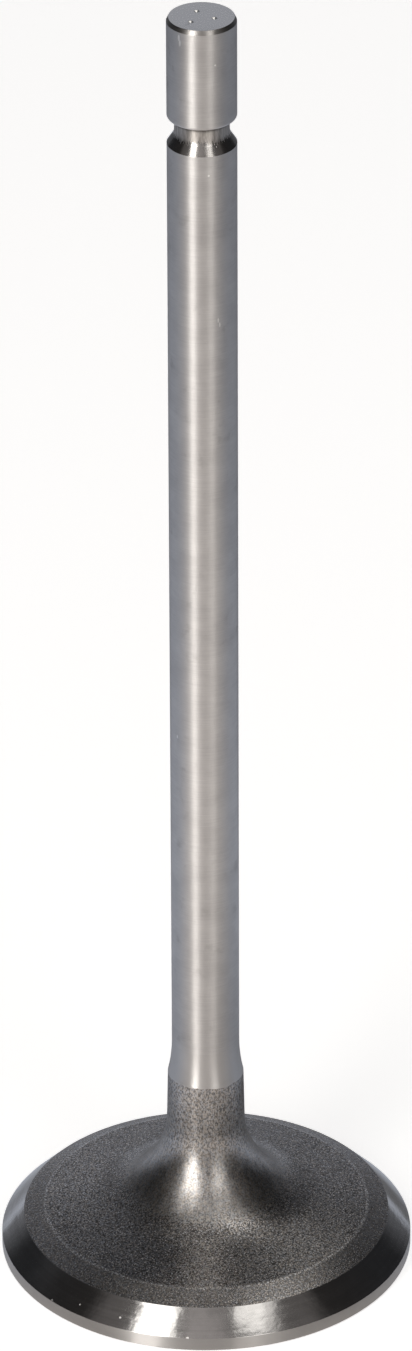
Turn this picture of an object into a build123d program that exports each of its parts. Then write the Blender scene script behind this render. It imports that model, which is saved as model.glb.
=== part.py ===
from build123d import *
from math import radians, tan
import os

# Poppet valve of a piston engine, forged and ground from one piece of steel.
# Millimetres. It stands on its flat combustion face: the origin is the centre
# of that face and +Z runs up the stem to the tip.

# ---- driving dimensions -------------------------------------------------
overall_length = 162.6
stem_diameter = 8.0
head_diameter = 49.0

# rim of the head, from the combustion face upwards
face_chamfer = 0.25          # edge break all round the combustion face
margin_height = 1.75         # plain cylinder below the seat
seat_angle = 45.0            # of the ground seat, from the head plane
seat_width = 2.65            # of the seat, measured along the radius

# tulip: the back of the head, from the seat inwards
back_cut_angle = 24.0        # outer cone next to the seat
crease_diameter = 38.7       # where the outer cone meets the tulip cone
tulip_angle = 13.0           # tulip cone, from the head plane
neck_fillet = 11.7           # sweep from the tulip cone up into the neck

# neck: as forged, a little thicker than the stem, with a forging draft
neck_top = 23.9              # height at which the ground stem takes over
neck_diameter = 9.0          # at neck_top
neck_draft = 1.2             # degrees on the side
runout_length = 4.5          # concave run-out of the grinding wheel

# tip: keeper groove and end face
tip_chamfer_height = 0.5
tip_chamfer_width = 0.25
groove_shoulder = 12.3       # tip face down to the upper shoulder
groove_rim = 15.65           # tip face down to the lower rim
groove_diameter = 6.3        # across the floor
shoulder_slope = 22.0        # of the upper shoulder, from square
flank_angle = 33.0           # of the lower flank, from the axis
shoulder_round = 0.4
corner_round = 0.15
flank_round = 1.5

# punched dimples on the end face: distance from the axis and bearing
dimple_diameter = 0.46
dimple_depth = 0.18
dimple_spots = [(1.42, 111), (1.84, 230), (1.54, 341)]

# ---- heights and radii that follow ---------------------------------------
stem_radius = stem_diameter / 2
head_radius = head_diameter / 2
neck_radius = neck_diameter / 2
crease_radius = crease_diameter / 2
groove_radius = groove_diameter / 2

seat_inner_radius = head_radius - seat_width
seat_top = margin_height + seat_width * tan(radians(seat_angle))
crease_height = seat_top + (seat_inner_radius - crease_radius) * tan(radians(back_cut_angle))

# the tulip cone and the drafted neck, each prolonged, meet at one corner
tulip_slope = tan(radians(tulip_angle))
draft_slope = tan(radians(neck_draft))
corner_height = (
    crease_height + (crease_radius - neck_radius - neck_top * draft_slope) * tulip_slope
) / (1 - draft_slope * tulip_slope)
corner_radius = neck_radius + (neck_top - corner_height) * draft_slope

# the run-out is an arc that leaves the stem at a tangent
runout_top = neck_top + runout_length
runout_depth = neck_radius - stem_radius
runout_radius = (runout_length**2 + runout_depth**2) / (2 * runout_depth)

# the groove, as heights above the combustion face
shoulder_height = overall_length - groove_shoulder
rim_height = overall_length - groove_rim
groove_depth = stem_radius - groove_radius
floor_top = shoulder_height - groove_depth * tan(radians(shoulder_slope))
floor_bottom = rim_height + groove_depth / tan(radians(flank_angle))


# ---- half section, turned once round the axis ------------------------------
with BuildPart() as valve:
    with BuildSketch(Plane.XZ) as half_section:
        with BuildLine() as outline:
            Polyline(
                (0, 0),
                (head_radius - face_chamfer, 0),
                (head_radius, face_chamfer),
                (head_radius, margin_height),
                (seat_inner_radius, seat_top),
                (crease_radius, crease_height),
                (corner_radius, corner_height),
                (neck_radius, neck_top),
            )
            RadiusArc((neck_radius, neck_top), (stem_radius, runout_top), runout_radius)
            Polyline(
                (stem_radius, runout_top),
                (stem_radius, rim_height),
                (groove_radius, floor_bottom),
                (groove_radius, floor_top),
                (stem_radius, shoulder_height),
                (stem_radius, overall_length - tip_chamfer_height),
                (stem_radius - tip_chamfer_width, overall_length),
                (0, overall_length),
                (0, 0),
            )
        make_face()

        def corner(radius, height):
            """The corner of the half section nearest to a radius and height."""
            return half_section.vertices().sort_by_distance(Vector(radius, height))[0]

        fillet(corner(corner_radius, corner_height), neck_fillet)
        fillet(corner(stem_radius, shoulder_height), shoulder_round)
        fillet(corner(groove_radius, floor_top), corner_round)
        fillet(corner(groove_radius, floor_bottom), flank_round)
    revolve(axis=Axis.Z)

    # three small punch marks in the end face
    for distance, bearing in dimple_spots:
        with BuildSketch(Plane.XY.offset(overall_length)):
            with PolarLocations(distance, 1, start_angle=bearing):
                Circle(dimple_diameter / 2)
        extrude(amount=-dimple_depth, taper=38, mode=Mode.SUBTRACT)

valve.part.label = "valve"

os.makedirs("parts", exist_ok=True)
export_step(valve.part, "parts/valve.step")
print(f"valve: volume {valve.part.volume:.0f} mm3, run-out radius {runout_radius:.1f} mm")
print(f"valve: box {valve.part.bounding_box().size}")
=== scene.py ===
from math import acos, cos, hypot, pi, radians, sin, tan

import bpy
from mathutils import Euler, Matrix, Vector


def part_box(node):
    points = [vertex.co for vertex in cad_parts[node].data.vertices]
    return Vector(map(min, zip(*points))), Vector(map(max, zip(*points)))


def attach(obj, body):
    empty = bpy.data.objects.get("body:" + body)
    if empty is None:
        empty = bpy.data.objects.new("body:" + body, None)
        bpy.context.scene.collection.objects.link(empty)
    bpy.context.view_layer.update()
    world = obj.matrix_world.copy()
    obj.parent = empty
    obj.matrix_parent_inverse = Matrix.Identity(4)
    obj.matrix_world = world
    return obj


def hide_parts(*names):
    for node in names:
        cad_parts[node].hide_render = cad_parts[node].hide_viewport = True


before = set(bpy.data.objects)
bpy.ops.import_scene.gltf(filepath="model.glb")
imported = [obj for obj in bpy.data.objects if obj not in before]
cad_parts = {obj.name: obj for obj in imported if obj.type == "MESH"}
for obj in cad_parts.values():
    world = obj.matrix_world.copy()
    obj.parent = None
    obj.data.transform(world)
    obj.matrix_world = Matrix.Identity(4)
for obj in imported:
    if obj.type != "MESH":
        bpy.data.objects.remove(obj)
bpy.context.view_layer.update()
valve_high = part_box("valve")[1]

MM = 0.001                   # metres in a millimetre


# ---- sizes of the valve, in millimetres and degrees -----------------------------
# They are the CAD source's, but for the dimples, which are a little wider and deeper.
LENGTH = valve_high.z / MM
HEAD_R = valve_high.x / MM
STEM_R = 4.0
FACE_CHAMFER = 0.25
MARGIN_TOP = 1.75
SEAT_WIDTH = 2.65
SEAT_R = HEAD_R - SEAT_WIDTH
SEAT_TOP = MARGIN_TOP + SEAT_WIDTH
BACK_CUT_ANGLE = 24.0
TULIP_ANGLE = 13.0
NECK_DRAFT = 1.2
CREASE_R = 19.35
CREASE_Z = SEAT_TOP + (SEAT_R - CREASE_R) * tan(radians(BACK_CUT_ANGLE))
TULIP_SLOPE = tan(radians(TULIP_ANGLE))
NECK_FILLET = 11.7
NECK_R = 4.5
NECK_TOP = 23.9
DRAFT_SLOPE = tan(radians(NECK_DRAFT))
CORNER_Z = (CREASE_Z + (CREASE_R - NECK_R - NECK_TOP * DRAFT_SLOPE) * TULIP_SLOPE) / (
    1 - DRAFT_SLOPE * TULIP_SLOPE
)
CORNER_R = NECK_R + (NECK_TOP - CORNER_Z) * DRAFT_SLOPE
RUNOUT = 4.5
RUNOUT_DEPTH = NECK_R - STEM_R
RUNOUT_RADIUS = (RUNOUT**2 + RUNOUT_DEPTH**2) / (2 * RUNOUT_DEPTH)
GROOVE_R = 3.15
GROOVE_DEPTH = STEM_R - GROOVE_R
GROOVE_RIM = 15.65           # from the end face down
GROOVE_SHOULDER = 12.3
FLANK_ANGLE = 33.0
SHOULDER_SLOPE = 22.0
RIM_Z = LENGTH - GROOVE_RIM
SHOULDER_Z = LENGTH - GROOVE_SHOULDER
# the two ends of the groove's floor
FLOOR_LOW = RIM_Z + GROOVE_DEPTH / tan(radians(FLANK_ANGLE))
FLOOR_HIGH = SHOULDER_Z - GROOVE_DEPTH * tan(radians(SHOULDER_SLOPE))
TIP_CHAMFER = 0.25
TIP_CHAMFER_HEIGHT = 0.5
DIMPLE_R = 0.28              # from the middle to the middle of a side
DIMPLE_DEPTH = 0.213
DIMPLE_TURN = 113.5          # bearing of one of its four blunt sides, in degrees
DIMPLE_SQUARENESS = 7.0      # 2 is a round mark; a large number is a square one
DIMPLES = [(1.42, 111), (1.84, 230), (1.54, 341)]      # distance from the axis, and bearing

SEGMENTS = 288               # faces round the axis
ROUND_STEP = 4.0             # degrees from one ring of a round to the next
RUNOUT_STEPS = 24
DIMPLE_BAND = (1.1, 2.16)    # radii between which the end face is finely divided
DIMPLE_BAND_STEPS = 46
CENTRE_RING_R = 0.6
SHARP_ANGLE = 24.0           # edges sharper than this aren't smoothed over


# ---- node helper -----------------------------------------------------------------
class Nodes:
    """Short calls for building one node tree."""

    def __init__(self, tree):
        self.tree = tree
        tree.nodes.clear()

    def new(self, kind, **settings):
        node = self.tree.nodes.new(kind)
        for name, value in settings.items():
            setattr(node, name, value)
        return node

    def feed(self, socket, value):
        if isinstance(value, bpy.types.NodeSocket):
            self.tree.links.new(value, socket)
        else:
            socket.default_value = value

    def math(self, operation, a, b=0.0, c=0.0, clamp=False):
        node = self.new("ShaderNodeMath", operation=operation, use_clamp=clamp)
        for socket, value in zip(node.inputs, (a, b, c)):
            self.feed(socket, value)
        return node.outputs[0]

    def vector(self, operation, a, b=(0, 0, 0), scale=1.0):
        node = self.new("ShaderNodeVectorMath", operation=operation)
        self.feed(node.inputs[0], a)
        if operation == "SCALE":
            self.feed(node.inputs["Scale"], scale)
        else:
            self.feed(node.inputs[1], b)
        return node.outputs["Value" if operation in ("LENGTH", "DOT_PRODUCT") else "Vector"]

    def changed(self, level, mask, share):
        """The level, brighter or darker by share where the mask is 1."""
        return self.math("MULTIPLY", level, self.math("MULTIPLY_ADD", mask, share, 1.0))

    def ramp(self, value, low, high, to_low=0.0, to_high=1.0, smooth=True):
        """Runs from to_low at low to to_high at high, and stays level beyond them."""
        node = self.new("ShaderNodeMapRange")
        node.interpolation_type = "SMOOTHSTEP" if smooth else "LINEAR"
        for socket, number in zip(node.inputs, (value, low, high, to_low, to_high)):
            self.feed(socket, number)
        return node.outputs["Result"]

    def noise(self, vector, scale, detail=2.0, rough=0.5, distortion=0.0):
        node = self.new("ShaderNodeTexNoise")
        self.feed(node.inputs["Vector"], vector)
        node.inputs["Scale"].default_value = scale
        node.inputs["Detail"].default_value = detail
        node.inputs["Roughness"].default_value = rough
        node.inputs["Distortion"].default_value = distortion
        return node.outputs["Fac"]

    def window(self, value, low, high, soft):
        """1 where value lies between low and high, with soft edges."""
        rise = self.ramp(value, low - soft, low + soft)
        return self.math("MULTIPLY", rise, self.ramp(value, high + soft, high - soft))

    def mix(self, factor, a, b):
        """Colours a and b, mixed by factor."""
        node = self.new("ShaderNodeMix", data_type="RGBA")
        self.feed(node.inputs["Factor"], factor)
        self.feed(node.inputs["A"], a)
        self.feed(node.inputs["B"], b)
        return node.outputs["Result"]

    def bump(self, height, depth_mm, strength=1.0, normal=None):
        node = self.new("ShaderNodeBump")
        node.inputs["Strength"].default_value = strength
        node.inputs["Distance"].default_value = depth_mm * MM
        self.feed(node.inputs["Height"], height)
        if normal is not None:
            self.feed(node.inputs["Normal"], normal)
        return node.outputs["Normal"]


def rgb(red, green, blue):
    return (red, green, blue, 1.0)


QUARTER_TURN = 0.25          # turns the shader's anisotropy from the marks to across them
BARE_STEEL = rgb(0.95, 0.94, 0.92)


class Surface(Nodes):
    """A metal's node tree, with the object's coordinates in millimetres ready to use."""

    def __init__(self, name):
        self.material = bpy.data.materials.new(name)
        self.material.use_nodes = True
        super().__init__(self.material.node_tree)
        coordinates = self.new("ShaderNodeTexCoord").outputs["Object"]
        self.place = self.vector("SCALE", coordinates, scale=1 / MM)
        split = self.new("ShaderNodeSeparateXYZ")
        self.feed(split.inputs[0], self.place)
        self.height = split.outputs["Z"]
        flat = self.vector("MULTIPLY", self.place, (1, 1, 0))
        self.radius = self.vector("LENGTH", flat)
        self.bearing = self.vector("NORMALIZE", flat)

    def turned(self, along, arc, pitch):
        """Coordinates stretched round the axis: arc is a mark's length on the stem, pitch
        its width. Farther from the axis the marks grow longer."""
        scaled = self.vector("SCALE", self.bearing, scale=STEM_R / arc)
        step = self.math("DIVIDE", along, pitch)
        joined = self.new("ShaderNodeCombineXYZ")
        self.feed(joined.inputs["Z"], step)
        return self.vector("ADD", scaled, joined.outputs[0])

    def spot(self, centre, radii):
        """1 at centre, falling to 0 at radii, all in millimetres."""
        offset = self.vector("SUBTRACT", self.place, centre)
        reach = self.vector("LENGTH", self.vector("DIVIDE", offset, radii))
        return self.ramp(reach, 0.55, 1.0, 1.0, 0.0)

    def metal(self, color, roughness, normal=None, anisotropy=0.0):
        """The finished shader. With anisotropy, highlights spread across marks round the axis."""
        shader = self.new("ShaderNodeBsdfPrincipled")
        self.feed(shader.inputs["Base Color"], color)
        self.feed(shader.inputs["Roughness"], roughness)
        shader.inputs["Metallic"].default_value = 1.0
        if normal is not None:
            self.feed(shader.inputs["Normal"], normal)
        if anisotropy:
            tangent = self.new("ShaderNodeTangent", direction_type="RADIAL", axis="Z")
            shader.inputs["Anisotropic"].default_value = anisotropy
            shader.inputs["Anisotropic Rotation"].default_value = QUARTER_TURN
            self.feed(shader.inputs["Tangent"], tangent.outputs[0])
        output = self.new("ShaderNodeOutputMaterial")
        self.feed(output.inputs["Surface"], shader.outputs[0])
        return self.material


# ---- materials ----------------------------------------------------------------------
def bearing_point(radius, bearing, height):
    """A point on the valve: bearing 0 faces the camera and 90 is its right-hand side."""
    return (radius * sin(radians(bearing)), -radius * cos(radians(bearing)), height)


def nicks(s, marks):
    """1 inside any of the marks, each (radius, bearing, height, width, length) in millimetres."""
    total = 0.0
    for radius, bearing, height, width, length in marks:
        centre = bearing_point(radius, bearing, height)
        total = s.math("MAXIMUM", s.spot(centre, (width, width, length)), total)
    return total


# nicks, each (radius, bearing, height, width, length)
STEM_MARKS = [
    (4.0, -39.5, 161.4, 0.18, 0.5),
    (4.0, -37.5, 160.8, 0.16, 0.5),
    (4.0, 22.0, 158.3, 0.15, 0.15),
    (4.0, 10.8, 144.6, 0.16, 0.16),
    (4.0, 26.0, 126.1, 0.10, 0.4),
    (4.0, 29.0, 125.5, 0.10, 0.4),
    (4.0, -52.0, 71.0, 0.10, 0.3),
]
SEAT_MARKS = [
    (24.45, -5.3, 1.8, 0.2, 0.14),
    (24.4, -48.7, 1.85, 0.16, 0.12),
    (23.65, -39.4, 2.6, 0.14, 0.12),
    (23.57, -25.7, 2.67, 0.16, 0.12),
]
GROOVE_MARKS = [
    (3.45, 28.2, 147.8, 0.07, 0.3),
    (3.3, 25.5, 148.1, 0.05, 0.25),
]


def ground_stem():
    """Ground steel: fine marks round the stem, faint longer bands, soft stains and a few nicks."""
    s = Surface("ground_stem")
    fine = s.noise(s.turned(s.height, 3.0, 0.09), 1.0, 3.0, 0.65)
    band = s.noise(s.turned(s.height, 16.0, 2.2), 1.0, 3.0, 0.6)
    cloud = s.noise(s.place, 0.28, 4.0, 0.6)
    tone = s.math("MULTIPLY_ADD", fine, 0.45, s.math("MULTIPLY", cloud, 0.55))
    color = s.mix(s.ramp(tone, 0.3, 0.7), rgb(0.565, 0.555, 0.55), rgb(0.69, 0.68, 0.67))
    stain = s.ramp(s.noise(s.place, 0.45, 3.0, 0.6), 0.60, 0.75)
    color = s.mix(s.math("MULTIPLY", stain, 0.3), color, rgb(0.42, 0.41, 0.40))
    nick = nicks(s, STEM_MARKS)
    color = s.mix(nick, color, BARE_STEEL)
    roughness = s.math("MULTIPLY_ADD", band, 0.05, 0.39)
    roughness = s.math("MULTIPLY_ADD", stain, 0.04, roughness)
    normal = s.bump(s.math("MULTIPLY_ADD", nick, -8.0, fine), 0.0008)
    return s.metal(color, roughness, normal, anisotropy=0.85)


def ground_runout():
    """The run-out below the stem, left brighter by the edge of the wheel."""
    s = Surface("ground_runout")
    fine = s.noise(s.turned(s.height, 3.0, 0.09), 1.0, 3.0, 0.65)
    cloud = s.noise(s.place, 0.4, 3.0, 0.6)
    color = s.mix(cloud, rgb(0.57, 0.56, 0.55), rgb(0.66, 0.65, 0.64))
    roughness = s.math("MULTIPLY_ADD", fine, 0.05, 0.33)
    return s.metal(color, roughness, s.bump(fine, 0.0008), anisotropy=0.88)


def end_face():
    """The lapped end face: an even, cloudy grey."""
    s = Surface("end_face")
    lapped = s.noise(s.place, 5.0, 4.0, 0.7)
    color = s.mix(lapped, rgb(0.60, 0.60, 0.60), rgb(0.72, 0.72, 0.72))
    roughness = s.math("MULTIPLY_ADD", lapped, 0.12, 0.2)
    return s.metal(color, roughness, s.bump(lapped, 0.003))


def punched_dimple():
    """The burnished inside of a dimple."""
    s = Surface("punched_dimple")
    dents = s.noise(s.place, 6.0, 2.0, 0.6)
    color = s.mix(dents, rgb(0.74, 0.74, 0.73), rgb(0.94, 0.94, 0.93))
    roughness = s.math("MULTIPLY_ADD", dents, 0.1, 0.06)
    return s.metal(color, roughness, s.bump(dents, 0.004))


def ground_edge():
    """The chamfer of the tip."""
    s = Surface("ground_edge")
    fine = s.noise(s.turned(s.height, 1.2, 0.25), 1.0, 3.0, 0.6)
    color = s.mix(fine, rgb(0.34, 0.33, 0.32), rgb(0.48, 0.47, 0.46))
    roughness = s.math("MULTIPLY_ADD", fine, 0.12, 0.28)
    return s.metal(color, roughness, s.bump(fine, 0.002), anisotropy=0.5)


def turned_groove():
    """The keeper groove's lower flank: turned bright, with faint smears."""
    s = Surface("turned_groove")
    smears = s.noise(s.turned(s.height, 0.35, 1.6), 1.0, 3.0, 0.65)
    fine = s.noise(s.turned(s.height, 2.0, 0.12), 1.0, 2.0, 0.6)
    color = s.mix(smears, rgb(0.36, 0.35, 0.34), rgb(0.54, 0.53, 0.52))
    nick = nicks(s, GROOVE_MARKS)
    color = s.mix(nick, color, rgb(0.97, 0.95, 0.93))
    roughness = s.math("MULTIPLY_ADD", smears, 0.16, s.math("MULTIPLY_ADD", nick, 0.4, 0.13))
    normal = s.bump(s.math("MULTIPLY_ADD", smears, 1.5, fine), 0.003)
    return s.metal(color, roughness, normal, anisotropy=0.4)


def groove_floor():
    """The keeper groove's floor: duller, smeared along the axis, with painted shade under the upper
    lip.
    """
    s = Surface("groove_floor")
    smears = s.noise(s.turned(s.height, 0.4, 1.8), 1.0, 3.0, 0.65)
    fine = s.noise(s.turned(s.height, 2.0, 0.1), 1.0, 3.0, 0.6)
    # painted shade: the floor's colour darkens towards the upper lip, where shade falls
    under_lip_shade = s.ramp(s.height, FLOOR_HIGH - 0.5, FLOOR_HIGH - 0.02)
    color = s.mix(s.ramp(smears, 0.3, 0.7), rgb(0.39, 0.37, 0.345), rgb(0.71, 0.68, 0.65))
    color = s.mix(s.math("MULTIPLY", under_lip_shade, 0.85), color, rgb(0.08, 0.075, 0.07))
    roughness = s.math("MULTIPLY_ADD", smears, 0.14, 0.36)
    return s.metal(color, roughness, s.bump(fine, 0.002), anisotropy=0.92)


NECK_BLEND = (12.5, 16.5)    # heights over which the dish's grain gives way to the neck's
CURVE_BLEND = (7.6, 9.6)     # heights over which the streaks of the sweep come in
CREASE_BLEND = 0.25          # to either side of the crease
CREASE_HIGHLIGHT = (0.24, 0.08)   # the painted highlight on the crease fades out and is full, this far off


def skin_level(s):
    """How light the skin is: slow clouds, a lighter outer cone and a painted highlight along the
    crease.
    """
    cloud = s.noise(s.place, 0.4, 3.0, 0.6)
    patch = s.noise(s.place, 1.1, 2.0, 0.5)
    level = s.math("MULTIPLY_ADD", cloud, 0.22, s.math("MULTIPLY_ADD", patch, 0.2, 0.79))
    off_crease = s.math("ABSOLUTE", s.math("SUBTRACT", s.radius, CREASE_R))
    rim = s.math("MULTIPLY_ADD", outer_cone(s), 0.15, 1.0)
    # painted highlight: a lighter line along the crease
    rim = s.math("MULTIPLY_ADD", s.ramp(off_crease, *CREASE_HIGHLIGHT), 0.6, rim)
    return s.math("MULTIPLY", level, rim)


def outer_cone(s):
    """1 on the cone between the crease and the seat."""
    return s.ramp(s.radius, CREASE_R - CREASE_BLEND, CREASE_R + CREASE_BLEND)


def skin_grain(s, fine, coarse, curve, neck):
    """Light flecks on the dish, drawn streaks where it curves up, and pits on the neck."""
    flecks = s.ramp(fine, 0.41, 0.6, smooth=False)
    flecks = s.mix(flecks, rgb(0.09, 0.087, 0.084), rgb(0.77, 0.755, 0.74))
    flecks = s.mix(s.math("MULTIPLY", outer_cone(s), 0.38), flecks, rgb(0.41, 0.402, 0.394))
    path = s.math("SUBTRACT", s.height, s.radius)
    drawn = s.noise(s.turned(path, 0.5, 2.6), 1.0, 3.0, 0.6)
    tone = s.math("MULTIPLY_ADD", drawn, 0.55, s.math("MULTIPLY", coarse, 0.45))
    worn = s.mix(s.ramp(tone, 0.36, 0.64), rgb(0.24, 0.233, 0.225), rgb(0.54, 0.53, 0.52))
    pits = s.ramp(coarse, 0.40, 0.58, smooth=False)
    pits = s.mix(pits, rgb(0.15, 0.146, 0.142), rgb(0.46, 0.45, 0.44))
    return s.mix(neck, s.mix(curve, flecks, worn), pits)


def blasted_skin():
    """Shot-blasted forging: pitted grain with light flecks, smoother where the tulip curves up."""
    s = Surface("blasted_skin")
    fine = s.noise(s.place, 5.2, 3.0, 0.6)
    coarse = s.noise(s.vector("MULTIPLY", s.place, (1.25, 1.25, 0.78)), 3.9, 3.0, 0.7)
    neck = s.ramp(s.height, *NECK_BLEND)
    curve = s.math("MULTIPLY", s.ramp(s.height, *CURVE_BLEND), 0.7)
    grain = skin_grain(s, fine, coarse, curve, neck)
    hue = s.ramp(s.noise(s.place, 3.1, 1.0, 0.5), 0.35, 0.65)
    grain = s.vector("MULTIPLY", grain, s.mix(hue, rgb(1.05, 1.0, 0.95), rgb(0.96, 0.99, 1.04)))
    color = s.vector("SCALE", grain, scale=skin_level(s))
    roughness = s.math("MULTIPLY_ADD", curve, 0.06, 0.22)
    roughness = s.math("MULTIPLY_ADD", fine, 0.08, roughness)
    normal = s.bump(s.mix(neck, fine, coarse), 0.022)
    return s.metal(color, roughness, normal)


def ground_seat():
    """The ground sealing face: nearly a mirror, with slow waves and faint rings."""
    s = Surface("ground_seat")
    rings = s.noise(s.turned(s.radius, 6.0, 0.3), 1.0, 3.0, 0.6)
    wave = s.noise(s.place, 0.8, 2.0, 0.5)
    chatter = s.noise(s.turned(s.radius, 1.6, 3.0), 1.0, 2.0, 0.5)
    broad = s.noise(s.place, 0.5, 3.0, 0.6)
    tone = s.math("MULTIPLY_ADD", rings, 0.5, s.math("MULTIPLY", broad, 0.5))
    color = s.mix(s.ramp(tone, 0.3, 0.7), rgb(0.50, 0.495, 0.49), rgb(0.62, 0.615, 0.61))
    nick = nicks(s, SEAT_MARKS)
    color = s.mix(nick, color, rgb(0.96, 0.95, 0.94))
    roughness = s.math("MULTIPLY_ADD", rings, 0.08, s.math("MULTIPLY_ADD", nick, 0.5, 0.09))
    relief = s.math("MULTIPLY_ADD", wave, 6.0, s.math("MULTIPLY_ADD", chatter, 1.5, rings))
    return s.metal(color, roughness, s.bump(relief, 0.0022), anisotropy=0.2)


def turned_margin():
    """The rim below the seat: fine turning marks round it."""
    s = Surface("turned_margin")
    fine = s.noise(s.turned(s.height, 6.0, 0.16), 1.0, 3.0, 0.6)
    broad = s.noise(s.place, 0.6, 3.0, 0.6)
    color = s.mix(broad, rgb(0.54, 0.53, 0.52), rgb(0.62, 0.61, 0.60))
    roughness = s.math("MULTIPLY_ADD", fine, 0.08, 0.33)
    return s.metal(color, roughness, s.bump(fine, 0.002), anisotropy=0.95)


def turned_face():
    """The combustion face below: fine turning rings out from its centre."""
    s = Surface("turned_face")
    rings = s.noise(s.turned(s.radius, 30.0, 0.18), 1.0, 3.0, 0.6)
    broad = s.noise(s.place, 0.3, 3.0, 0.6)
    color = s.mix(broad, rgb(0.5, 0.49, 0.48), rgb(0.57, 0.56, 0.55))
    roughness = s.math("MULTIPLY_ADD", rings, 0.12, 0.32)
    return s.metal(color, roughness, s.bump(rings, 0.006), anisotropy=0.6)


MATERIALS = {
    "face": turned_face(),
    "margin": turned_margin(),
    "seat": ground_seat(),
    "skin": blasted_skin(),
    "runout": ground_runout(),
    "stem": ground_stem(),
    "groove": turned_groove(),
    "floor": groove_floor(),
    "edge": ground_edge(),
    "end": end_face(),
    "dimple": punched_dimple(),
}
SLOT = {name: index for index, name in enumerate(MATERIALS)}


# ---- half section of the valve ----------------------------------------------------------
def arc_points(before, corner, after, radius, step_degrees):
    """The points of a round at a corner, from the side of before to the side of after."""
    back = (Vector(before) - Vector(corner)).normalized()
    ahead = (Vector(after) - Vector(corner)).normalized()
    half_angle = acos(max(-1.0, min(1.0, back.dot(ahead)))) / 2
    reach = radius / tan(half_angle)
    middle = Vector(corner) + (back + ahead).normalized() * (radius / sin(half_angle))
    start = Vector(corner) + back * reach - middle
    end = Vector(corner) + ahead * reach - middle
    turn = pi - 2 * half_angle
    steps = max(3, round(turn / radians(step_degrees)))
    points = []
    for k in range(steps + 1):
        t = turn * k / steps
        arm = start * (sin(turn - t) / sin(turn)) + end * (sin(t) / sin(turn))
        points.append(tuple(middle + arm))
    return points


# corner radius and height, the round there, and the finish of the stretch that follows
OUTLINE = [
    (0.0, 0.0, 0.0, "face"),
    (HEAD_R - FACE_CHAMFER, 0.0, 0.04, "margin"),
    (HEAD_R, FACE_CHAMFER, 0.05, "margin"),
    (HEAD_R, MARGIN_TOP, 0.12, "seat"),
    (SEAT_R, SEAT_TOP, 0.08, "skin"),
    (CREASE_R, CREASE_Z, 1.2, "skin"),
    (CORNER_R, CORNER_Z, NECK_FILLET, "skin"),
    (NECK_R, NECK_TOP, 0.0, "runout"),
    (STEM_R, NECK_TOP + RUNOUT, 0.0, "stem"),
    (STEM_R, RIM_Z, 0.03, "groove"),
    (GROOVE_R, FLOOR_LOW, 1.5, "floor"),
    (GROOVE_R, FLOOR_HIGH, 0.15, "stem"),
    (STEM_R, SHOULDER_Z, 0.4, "stem"),
    (STEM_R, LENGTH - TIP_CHAMFER_HEIGHT, 0.05, "edge"),
    (STEM_R - TIP_CHAMFER, LENGTH, 0.03, "end"),
    (0.0, LENGTH, 0.0, None),
]


def runout_points():
    """The grinding wheel's concave run-out, from the neck up to the stem, without its two ends."""
    top = NECK_TOP + RUNOUT
    points = []
    for k in range(1, RUNOUT_STEPS):
        height = NECK_TOP + RUNOUT * k / RUNOUT_STEPS
        dip = (RUNOUT_RADIUS**2 - (top - height) ** 2) ** 0.5
        points.append((STEM_R + RUNOUT_RADIUS - dip, height))
    return points


def half_section():
    """Rings of the turned body, each (radius, height, finish of the band above it)."""
    rings = []
    for k, (radius, height, round_radius, finish) in enumerate(OUTLINE):
        if round_radius:
            before = OUTLINE[k - 1][:2]
            after = OUTLINE[k + 1][:2]
            turn = arc_points(before, (radius, height), after, round_radius, ROUND_STEP)
            previous = OUTLINE[k - 1][3]
            middle = len(turn) // 2
            for j, (x, z) in enumerate(turn):
                rings.append((x, z, finish if j >= middle else previous))
        else:
            rings.append((radius, height, finish))
        if finish == "runout":
            rings += [(x, z, "runout") for x, z in runout_points()]
    return rings


def add_dimple_band(rings):
    """Extra rings on the end face, close together where the dimples are."""
    low, high = DIMPLE_BAND
    steps = DIMPLE_BAND_STEPS
    fine = [low + (high - low) * k / steps for k in range(steps + 1)]
    last = rings.pop()
    rings += [(radius, LENGTH, "end") for radius in reversed(fine)]
    rings.append((CENTRE_RING_R, LENGTH, "end"))
    rings.append(last)
    return rings


def dimple_drop(x, y):
    """How far the end face lies below its plane at x, y, in the three punch marks."""
    drop = 0.0
    for distance, bearing in DIMPLES:
        from_x = x - distance * cos(radians(bearing))
        from_y = y - distance * sin(radians(bearing))
        if hypot(from_x, from_y) > 2 * DIMPLE_R:
            continue            # too far for its corners to reach
        turn = radians(DIMPLE_TURN)
        across = abs(from_x * cos(turn) + from_y * sin(turn))
        along = abs(from_y * cos(turn) - from_x * sin(turn))
        power = DIMPLE_SQUARENESS
        away = (across**power + along**power) ** (1 / power)
        drop = max(drop, DIMPLE_DEPTH * (1 - away / DIMPLE_R))
    return drop


# waves round the axis, each (height in millimetres, how many, phase)
WAVER = [(0.045, 3, 1.0), (0.035, 7, 0.0), (0.03, 17, 2.0), (0.02, 41, 0.0)]
SMEARS = [(0.14, 5, 0.4), (0.12, 23, 0.0), (0.16, 61, 1.0), (0.12, 97, 0.0)]


def waves(angle, parts):
    return sum(height * sin(count * angle + phase) for height, count, phase in parts)


def waver(angle):
    """How far the run-out's lower edge strays from level: the forging isn't quite even."""
    return waves(angle, WAVER)


def smear_edge(angle):
    """How far below FLOOR_LOW the dull smears of the groove floor reach."""
    return waves(angle, SMEARS)


SMEAR_REACH = 0.5            # how far from FLOOR_LOW a smear can end


def finish_at(ring, next_ring, k):
    """The finish of face k between two rings: the band's own, but for dimples and groove smears."""
    radius = (ring[0] + next_ring[0]) / 2
    height = (ring[1] + next_ring[1]) / 2
    finish = ring[2]
    angle = 2 * pi * (k + 0.5) / SEGMENTS
    if finish == "end" and dimple_drop(radius * cos(angle), radius * sin(angle)) > 0:
        return "dimple"
    if finish in ("groove", "floor") and abs(height - FLOOR_LOW) < SMEAR_REACH:
        return "floor" if height > FLOOR_LOW - smear_edge(angle) else "groove"
    return finish


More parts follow.
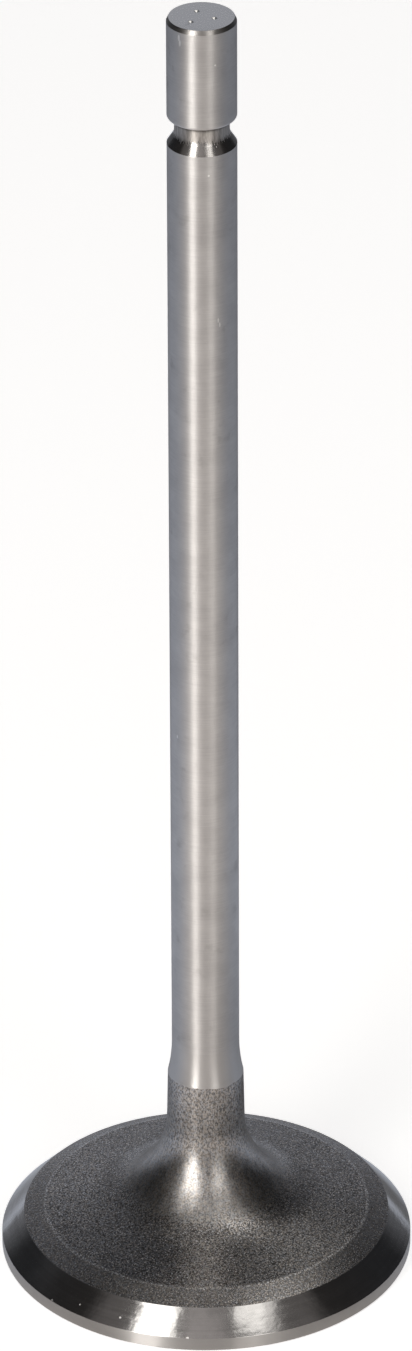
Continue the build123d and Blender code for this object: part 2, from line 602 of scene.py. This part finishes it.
def point_at(radius, height, finish, k):
    """Point k of a ring, in metres, lowered in a dimple or moved with the run-out's uneven edge."""
    angle = 2 * pi * k / SEGMENTS
    x, y = radius * cos(angle), radius * sin(angle)
    shift = 0.0
    if finish == "end":
        shift = -dimple_drop(x, y)
    elif height == NECK_TOP:
        shift = waver(angle)
    return (x * MM, y * MM, (height + shift) * MM)


def ring_points(rings):
    """All points, and the number of each ring's first. A ring of no radius is one point."""
    points, first = [], []
    for radius, height, finish in rings:
        first.append(len(points))
        if radius == 0:
            points.append((0, 0, height * MM))
        else:
            points += [point_at(radius, height, finish, k) for k in range(SEGMENTS)]
    return points, first


def ring_faces(rings, first):
    """The faces between neighbouring rings, and the material slot of each."""
    faces, slots = [], []
    for j in range(len(rings) - 1):
        a, b = first[j], first[j + 1]
        for k in range(SEGMENTS):
            k2 = (k + 1) % SEGMENTS
            if rings[j][0] == 0:
                faces.append((a, b + k2, b + k))
            elif rings[j + 1][0] == 0:
                faces.append((a + k, a + k2, b))
            else:
                faces.append((a + k, a + k2, b + k2, b + k))
            slots.append(SLOT[finish_at(rings[j], rings[j + 1], k)])
    return faces, slots


def build_valve():
    """The whole valve: the rings of its half section joined round the axis."""
    rings = add_dimple_band(half_section())
    points, first = ring_points(rings)
    faces, slots = ring_faces(rings, first)
    mesh = bpy.data.meshes.new("valve_body")
    mesh.from_pydata(points, [], faces)
    for material in MATERIALS.values():
        mesh.materials.append(material)
    mesh.polygons.foreach_set("material_index", slots)
    mesh.polygons.foreach_set("use_smooth", [True] * len(faces))
    mesh.validate()
    mesh.update()
    valve = bpy.data.objects.new("valve_body", mesh)
    bpy.context.scene.collection.objects.link(valve)
    mesh.set_sharp_from_angle(angle=radians(SHARP_ANGLE))
    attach(valve, "root")
    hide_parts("valve")


build_valve()


# ---- studio -----------------------------------------------------------------------------
def floor_place(n):
    """A floor point's direction from the valve, as side and depth, and its distance in metres."""
    place = n.new("ShaderNodeNewGeometry").outputs["Position"]
    flat = n.vector("MULTIPLY", place, (1, 1, 0))
    split = n.new("ShaderNodeSeparateXYZ")
    n.feed(split.inputs[0], n.vector("NORMALIZE", flat))
    return split.outputs[0], split.outputs[1], n.vector("LENGTH", flat)


def streak(n, turn, azimuth, half_width):
    """A streak running out from the valve at an azimuth, soft from 0.6 to 1.4 half widths."""
    off = n.math("ABSOLUTE", n.math("SUBTRACT", turn, azimuth))
    reach = n.math("DIVIDE", off, half_width)
    return n.ramp(reach, 1.4, 0.6)


def painted_open_floor(n, depth, away, turn, right):
    """Painted light on the floor, without the valve's shade: brightest in front and to the left,
    dim far off.
    """
    level = n.math("MULTIPLY_ADD", right, -0.11, 0.55)
    level = n.math("MULTIPLY_ADD", streak(n, turn, radians(-65), radians(25)), 0.09, level)
    level = n.math("MULTIPLY", level, n.ramp(depth, 0.75, 0.1, 0.9, 1.0))
    near_gain = n.math("MULTIPLY_ADD", right, 0.4, 1.4)
    level = n.math("MULTIPLY", level, n.ramp(away, 0.05, 0.2, near_gain, 0.95))
    level = n.math("MULTIPLY", level, n.ramp(away, 0.3, 0.6, 1.0, 0.2))
    far_front = n.math("MULTIPLY", n.ramp(depth, -0.3, -0.8), n.ramp(away, 0.1, 0.25))
    level = n.changed(level, far_front, 0.4)
    beside = n.math("MULTIPLY", n.ramp(depth, -0.45, -0.1), n.window(away, 0.06, 0.14, 0.015))
    return n.changed(level, beside, -0.24)


def painted_valve_shade(n, depth, away, right):
    """Painted shade round the valve, as the share of light left: little near it, and a painted
    lighter ring right at its rim.
    """
    start = n.math("MULTIPLY_ADD", right, 0.012, 0.034)
    reach = n.ramp(depth, 0.0, 0.8, 0.065, 0.085)
    foot = n.math("MULTIPLY_ADD", right, -0.18, 0.26)
    rim = n.math("MULTIPLY_ADD", right, 0.18, 0.23)
    rim = n.math("MULTIPLY", rim, n.ramp(away, 0.034, 0.027))
    shade = n.math("ADD", rim, n.ramp(away, start, reach, foot, 1.0))
    rear = n.math("MULTIPLY", n.ramp(depth, 0.75, 0.93), n.ramp(away, 0.26, 0.20))
    shade = n.changed(shade, rear, -0.36)
    rear_sides = n.math("MULTIPLY", n.window(depth, 0.8, 0.93, 0.04), n.ramp(away, 0.06, 0.14))
    return n.changed(shade, rear_sides, -0.34)


def painted_lamp_streaks(n, turn, away):
    """The two lamps' painted reflections, as streaks on the floor. They bend outwards and widen as
    they leave the rim.
    """
    bend = n.ramp(away, 0.027, 0.035)
    key_turn = n.math("MULTIPLY_ADD", bend, radians(-15), radians(-18))
    fill_turn = n.math("MULTIPLY_ADD", bend, radians(9), radians(12))
    width = n.math("MULTIPLY_ADD", bend, radians(5), radians(4))
    lamps = n.math("MULTIPLY", streak(n, turn, key_turn, width), 0.55)
    lamps = n.math("MULTIPLY_ADD", streak(n, turn, fill_turn, width), 0.2, lamps)
    return n.math("MULTIPLY", lamps, n.ramp(away, 0.10, 0.04))


def painted_floor_glow(n):
    """The painted glow that the metal sees on the floor: painted light, shade and lamp reflections.
    Distances from the valve's axis are in metres.
    """
    side, depth, away = floor_place(n)
    turn = n.math("ARCTAN2", side, n.math("MULTIPLY", depth, -1.0))
    right = n.ramp(side, 0.1, 0.7)
    level = painted_open_floor(n, depth, away, turn, right)
    level = n.math("MULTIPLY", level, painted_valve_shade(n, depth, away, right))
    return n.math("ADD", level, painted_lamp_streaks(n, turn, away))


def painted_glow_tint(n):
    """The painted glow's tint: warm in front of the valve, where the lamps are, and cool at its
    sides and behind.
    """
    depth = floor_place(n)[1]
    return n.mix(n.ramp(depth, 0.3, -0.9), rgb(0.90, 0.97, 1.13), rgb(1.07, 0.99, 0.94))


FLOOR_HALF = 4.0             # metres
FLOOR_Z = -0.0001            # just below the combustion face
FLOOR_WHITE = 0.70           # light that lifts the lit floor to white for the camera


def floor_material():
    """A pale paper floor: white with the valve's shadow to the camera, dimmer in the metal, where
    it glows with painted light, shade and lamp reflections.
    """
    material = bpy.data.materials.new("pale_floor")
    material.use_nodes = True
    n = Nodes(material.node_tree)
    rays = n.new("ShaderNodeLightPath")
    in_metal = rays.outputs["Is Glossy Ray"]
    diffuse = n.new("ShaderNodeBsdfDiffuse")
    n.feed(diffuse.inputs["Color"], n.mix(in_metal, rgb(0.8, 0.8, 0.8), rgb(0.25, 0.25, 0.25)))
    seen = n.new("ShaderNodeEmission")
    n.feed(seen.inputs["Strength"], n.math("MULTIPLY", rays.outputs["Is Camera Ray"], FLOOR_WHITE))
    # painted light: an emission seen only in the metal, with painted shade round the valve and lamp
    # reflections
    painted_emission = n.new("ShaderNodeEmission")
    n.feed(painted_emission.inputs["Color"], painted_glow_tint(n))
    n.feed(painted_emission.inputs["Strength"], n.math("MULTIPLY", in_metal, painted_floor_glow(n)))
    glow = n.new("ShaderNodeAddShader")
    n.feed(glow.inputs[0], seen.outputs[0])
    n.feed(glow.inputs[1], painted_emission.outputs[0])
    total = n.new("ShaderNodeAddShader")
    n.feed(total.inputs[0], diffuse.outputs[0])
    n.feed(total.inputs[1], glow.outputs[0])
    output = n.new("ShaderNodeOutputMaterial")
    n.feed(output.inputs["Surface"], total.outputs[0])
    return material


def build_floor():
    half = FLOOR_HALF
    corners = [(-half, -half, 0), (half, -half, 0), (half, half, 0), (-half, half, 0)]
    mesh = bpy.data.meshes.new("studio_floor")
    mesh.from_pydata(corners, [], [(0, 1, 2, 3)])
    mesh.materials.append(floor_material())
    floor = bpy.data.objects.new("studio_floor", mesh)
    bpy.context.scene.collection.objects.link(floor)
    floor.location.z = FLOOR_Z


LAMP_WARM = (1.0, 0.965, 0.92)
LAMP_TARGET = Vector((0, 0, 0.06))
LAMP_DISTANCE = 1.2
CEILING_Z = 1.26

# azimuth, elevation, width, height and brightness; azimuth 0 is the camera's side and 90 its right
SOFTBOXES = {
    "key_softbox": (-31.5, 19, 0.36, 0.86, 5.5),
    "key_shoulder": (-20.5, 26, 0.1, 0.4, 2.2),
    "key_top": (-36, 49, 0.34, 0.38, 2.6),
    "fill_softbox": (28, 17, 0.36, 0.66, 1.85),
    "fill_top": (27.5, 36, 0.36, 0.2, 2.6),
}
# x, y, width, length and brightness; they hang level above the valve and face down
CEILING_LAMPS = {
    "strip_softbox": (0.47, -0.66, 0.35, 0.36, 1.55),
    "strip_middle": (0.47, -0.12, 0.35, 0.72, 1.2),
    "strip_skirt": (0.71, -0.60, 0.13, 0.40, 0.8),
    "strip_tail": (0.44, 0.80, 0.32, 1.1, 0.37),
    "rear_panel": (-0.24, 0.23, 0.42, 0.20, 0.3),
    "ceiling_panel": (-0.07, -0.39, 0.74, 0.54, 0.46),
}


def rectangle_lamp(name, location, aim, width, height, brightness):
    """A soft rectangular lamp whose face is as bright as brightness says."""
    data = bpy.data.lights.new(name, "AREA")
    data.shape = "RECTANGLE"
    data.size = width
    data.size_y = height
    data.energy = brightness * pi * width * height
    data.color = LAMP_WARM
    lamp = bpy.data.objects.new(name, data)
    bpy.context.scene.collection.objects.link(lamp)
    lamp.location = location
    lamp.rotation_euler = aim
    lamp.visible_camera = False


def build_lamps():
    """The softboxes, turned to the valve, and the ceiling lamps."""
    for name, (azimuth, elevation, width, height, brightness) in SOFTBOXES.items():
        a, e = radians(azimuth), radians(elevation)
        toward = Vector((sin(a) * cos(e), -cos(a) * cos(e), sin(e)))
        location = LAMP_TARGET + LAMP_DISTANCE * toward
        aim = (LAMP_TARGET - location).to_track_quat("-Z", "Y").to_euler()
        rectangle_lamp(name, location, aim, width, height, brightness)
    for name, (x, y, width, length, brightness) in CEILING_LAMPS.items():
        rectangle_lamp(name, (x, y, CEILING_Z), (0, 0, 0), width, length, brightness)


def world_level(n, side, depth, up):
    """The studio's brightness in a direction. Azimuths and heights are in radians."""
    azimuth = n.math("ARCTAN2", side, n.math("MULTIPLY", depth, -1.0))
    height = n.math("ARCSINE", up)
    around = n.math("ABSOLUTE", azimuth)
    between_lamps = n.math(
        "MULTIPLY", n.window(azimuth, -0.32, 0.32, 0.12), n.window(height, 0.0, 1.08, 0.08)
    )
    between_lamps = n.math("MULTIPLY", between_lamps, n.ramp(azimuth, -0.15, 0.3, 0.38, 0.28))
    level = n.math("ADD", between_lamps, 0.025)
    outer = n.math("MULTIPLY", n.window(around, 0.75, 1.3, 0.1), n.window(height, 0.25, 1.1, 0.1))
    level = n.math("MULTIPLY_ADD", outer, 0.10, level)
    sweep = n.math("MULTIPLY", n.ramp(around, 2.78, 3.05), n.window(height, 0.32, 0.58, 0.12))
    sweep = n.math("MULTIPLY", sweep, n.ramp(side, -0.2, 0.2, 1.08, 0.92))
    level = n.math("MULTIPLY_ADD", sweep, 0.465, level)
    haze = n.math("MULTIPLY", n.ramp(around, 2.2, 2.6), n.ramp(height, 0.95, 0.05, 0.1, 1.0))
    haze = n.math("MULTIPLY", haze, n.ramp(side, -0.2, 0.2, 1.2, 0.85))
    level = n.math("MULTIPLY_ADD", haze, 0.145, level)
    canopy = n.math("MULTIPLY", n.ramp(side, -0.04, -0.2), n.window(height, 0.5, 1.0, 0.15))
    canopy = n.math("MULTIPLY", canopy, n.ramp(depth, 0.1, 0.5))
    level = n.math("MULTIPLY_ADD", canopy, 0.07, level)
    zenith = n.ramp(height, 1.3, 1.5)
    return n.math("MULTIPLY_ADD", zenith, 0.05, level)


def build_world():
    """A dim studio: grey between the lamps, a pale sweep behind the valve, dark upper sides."""
    world = bpy.data.worlds.new("studio")
    bpy.context.scene.world = world
    world.use_nodes = True
    n = Nodes(world.node_tree)
    direction = n.new("ShaderNodeTexCoord").outputs["Generated"]
    split = n.new("ShaderNodeSeparateXYZ")
    n.feed(split.inputs[0], direction)
    side, depth, up = split.outputs
    level = world_level(n, side, depth, up)
    behind = n.ramp(depth, -0.2, 0.5)
    studio = n.new("ShaderNodeBackground")
    n.feed(studio.inputs["Color"], n.mix(behind, rgb(1.06, 0.98, 0.95), rgb(0.96, 0.98, 1.06)))
    n.feed(studio.inputs["Strength"], level)
    white = n.new("ShaderNodeBackground")
    white.inputs["Strength"].default_value = 1.0
    choice = n.new("ShaderNodeMixShader")
    n.feed(choice.inputs[0], n.new("ShaderNodeLightPath").outputs["Is Camera Ray"])
    n.feed(choice.inputs[1], studio.outputs[0])
    n.feed(choice.inputs[2], white.outputs[0])
    output = n.new("ShaderNodeOutputWorld")
    n.feed(output.inputs["Surface"], choice.outputs[0])


build_floor()
build_lamps()
build_world()


# ---- camera --------------------------------------------------------------------------------
FRAME_HEIGHT = 1351          # pixels of the picture's long side
FOCAL_PIXELS = 9888.6
SENSOR = 36.0                # millimetres, along the same side
CAMERA_PLACE = (0.0, -1.00113, 0.64341)      # metres
CAMERA_DOWN = 29.467         # degrees below the horizon
CAMERA_TURN = -0.0126        # degrees about the vertical
CAMERA_ROLL = -0.2229        # degrees about the line of sight


def build_camera():
    data = bpy.data.cameras.new("camera")
    data.sensor_width = SENSOR
    data.lens = FOCAL_PIXELS / FRAME_HEIGHT * SENSOR
    data.clip_start = 0.05
    data.clip_end = 20.0
    camera = bpy.data.objects.new("camera", data)
    bpy.context.scene.collection.objects.link(camera)
    camera.location = CAMERA_PLACE
    aim = Euler((radians(90 - CAMERA_DOWN), 0, radians(CAMERA_TURN))).to_matrix()
    roll = Euler((0, 0, radians(CAMERA_ROLL))).to_matrix()
    camera.rotation_euler = (aim @ roll).to_euler()
    bpy.context.scene.camera = camera


build_camera()
bpy.context.scene.view_settings.view_transform = "Standard"
